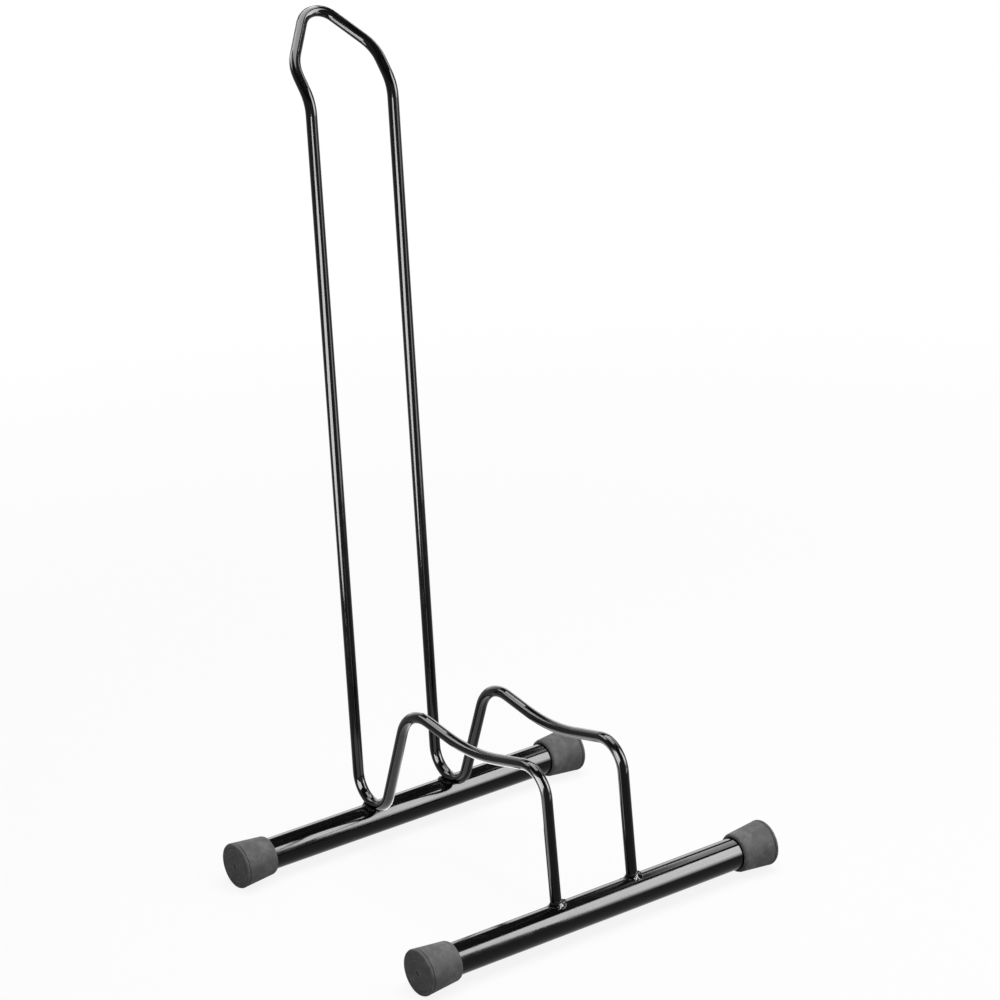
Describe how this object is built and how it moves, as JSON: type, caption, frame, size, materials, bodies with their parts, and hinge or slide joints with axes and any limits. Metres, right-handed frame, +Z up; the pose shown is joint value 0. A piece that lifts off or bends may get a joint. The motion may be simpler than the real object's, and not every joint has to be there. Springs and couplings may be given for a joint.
{
  "type": "floor bike rack",
  "caption": "Free-standing floor rack that holds one bicycle wheel upright between the two sides of a bent rod welded to two capped floor tubes.",
  "frame": {"origin": "middle of the footprint on the floor, under the centre of the bounding box", "axes": "+Z up, +X along the floor tubes to the right, +Y from the front tube, where the wheel rolls in, to the rear tube and the tall upright"},
  "size_m": [0.334, 0.333, 0.6648],
  "materials": {
    "rod_paint": "gloss",
    "tube_paint": "gloss",
    "weld_paint": "gloss",
    "cap_rubber": "matte"
  },
  "bodies": {
    "root": {"bent_rod": "rod_paint", "front_tube": "tube_paint", "rear_tube": "tube_paint", "front_cap_left": "cap_rubber", "front_weld_left": "weld_paint", "rear_cap_left": "cap_rubber", "rear_weld_left": "weld_paint", "front_cap_right": "cap_rubber", "front_weld_right": "weld_paint", "rear_cap_right": "cap_rubber", "rear_weld_right": "weld_paint"}
  },
  "joints": []
}
